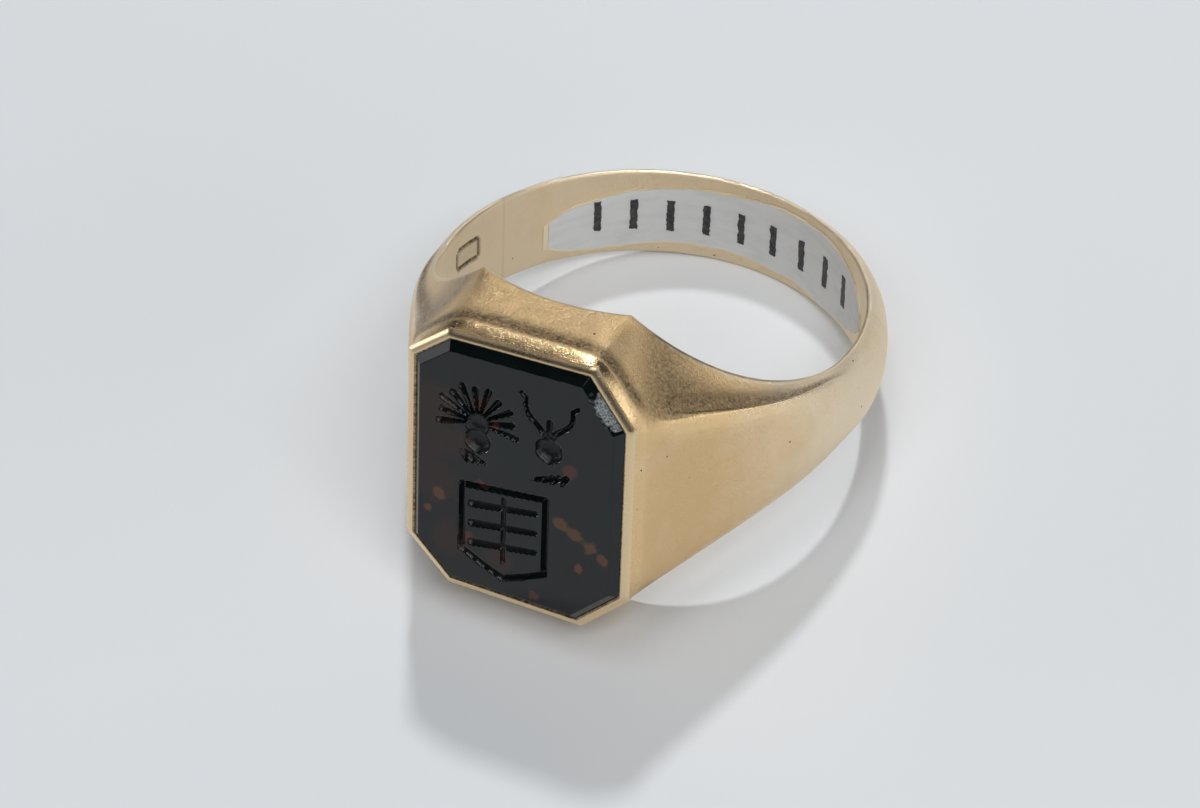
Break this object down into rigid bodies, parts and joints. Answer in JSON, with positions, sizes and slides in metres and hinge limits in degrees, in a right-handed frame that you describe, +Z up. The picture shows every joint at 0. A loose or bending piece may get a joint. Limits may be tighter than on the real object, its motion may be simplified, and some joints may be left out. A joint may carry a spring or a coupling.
{
  "type": "signet ring",
  "caption": "Gold signet ring with a bevelled octagonal bloodstone seal in a rubbed-over setting and a half-round shank, lying on its side.",
  "frame": {"origin": "centre of the footprint on the table the ring lies on, at table height", "axes": "+Z up from the table, -Y the way the seal faces, +X to the right of someone looking at the seal; the finger axis leans from +Z towards +Y"},
  "size_m": [0.02, 0.0231, 0.0142],
  "materials": {
    "satin_gold": "14 carat yellow gold, worn satin with fine scratches",
    "polished_gold": "14 carat yellow gold, burnished bright",
    "gold_solder": "yellow gold solder, filed flush and polished",
    "setting_cement": "dull brown setter's cement",
    "bloodstone": "polished dark green bloodstone with red and ochre flecks",
    "clear_lacquer": "thin clear lacquer over gold",
    "white_paint": "brushed white paint, slightly glossy",
    "black_ink": "matt black ink"
  },
  "bodies": {
    "root": {"signet_head": "satin_gold", "shank": "satin_gold", "shank_solder_joints": "gold_solder", "bezel_collet": "polished_gold", "stone_bearer": "polished_gold", "setting_cement": "setting_cement", "seal_stone": "bloodstone", "label_barrier_coat": "clear_lacquer", "label_white_paint": "white_paint", "label_ink_ticks": "black_ink"}
  },
  "joints": []
}
